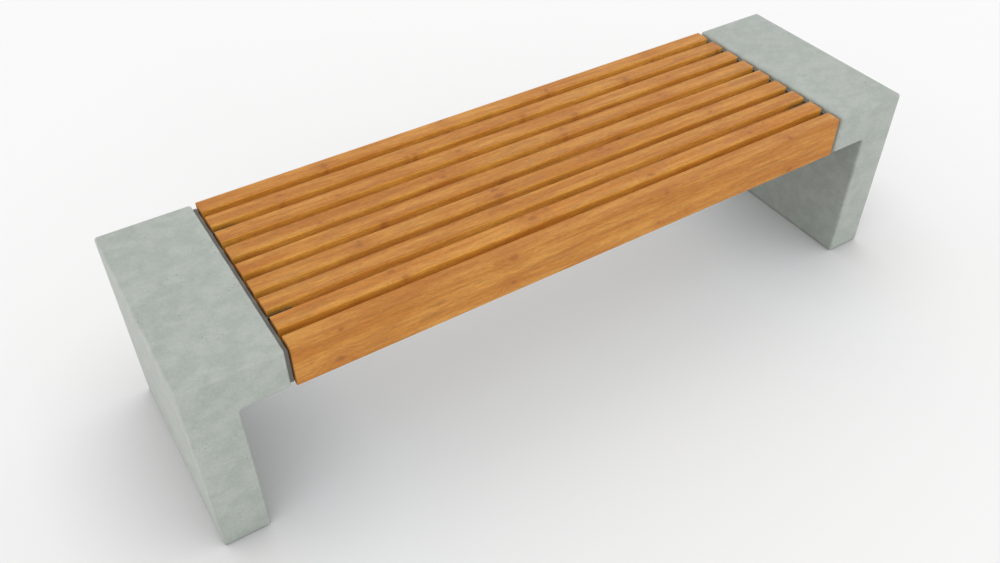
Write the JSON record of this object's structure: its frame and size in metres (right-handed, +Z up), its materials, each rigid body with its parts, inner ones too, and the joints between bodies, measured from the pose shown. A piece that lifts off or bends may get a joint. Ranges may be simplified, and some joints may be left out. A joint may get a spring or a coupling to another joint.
{
  "type": "garden bench",
  "caption": "Backless garden bench: precast concrete ends of inverted-L section carry a slatted timber seat on dark steel end brackets, with threaded sockets underneath for ground anchors.",
  "frame": {"origin": "on the ground, at the centre of the bench's footprint", "axes": "+X along the bench's length, -Y towards the front, +Z up"},
  "size_m": [1.8, 0.5, 0.455],
  "materials": {
    "precast_concrete": "smooth precast concrete, light grey with a faint green cast, cloudy mottling and fine air holes",
    "oiled_timber": "oiled warm orange-brown softwood with lengthwise grain and small knots, satin",
    "painted_steel": "dark grey powder coat, matt",
    "zinc_plated_steel": "zinc plated, dull"
  },
  "bodies": {
    "root": {"front_fascia_board": "oiled_timber", "left_bracket_bolts": "zinc_plated_steel", "left_bracket_sockets": "zinc_plated_steel", "left_bracket_washers": "zinc_plated_steel", "left_concrete_end": "precast_concrete", "left_end_bracket": "painted_steel", "left_fascia_screws": "zinc_plated_steel", "left_ground_sockets": "zinc_plated_steel", "left_slat_screws": "zinc_plated_steel", "middle_crossbar": "painted_steel", "middle_fascia_screws": "zinc_plated_steel", "middle_slat_screws": "zinc_plated_steel", "rear_fascia_board": "oiled_timber", "right_bracket_bolts": "zinc_plated_steel", "right_bracket_sockets": "zinc_plated_steel", "right_bracket_washers": "zinc_plated_steel", "right_concrete_end": "precast_concrete", "right_end_bracket": "painted_steel", "right_fascia_screws": "zinc_plated_steel", "right_ground_sockets": "zinc_plated_steel", "right_slat_screws": "zinc_plated_steel", "seat_slat_1": "oiled_timber", "seat_slat_2": "oiled_timber", "seat_slat_3": "oiled_timber", "seat_slat_4": "oiled_timber", "seat_slat_5": "oiled_timber", "seat_slat_6": "oiled_timber", "seat_slat_7": "oiled_timber"}
  },
  "joints": []
}
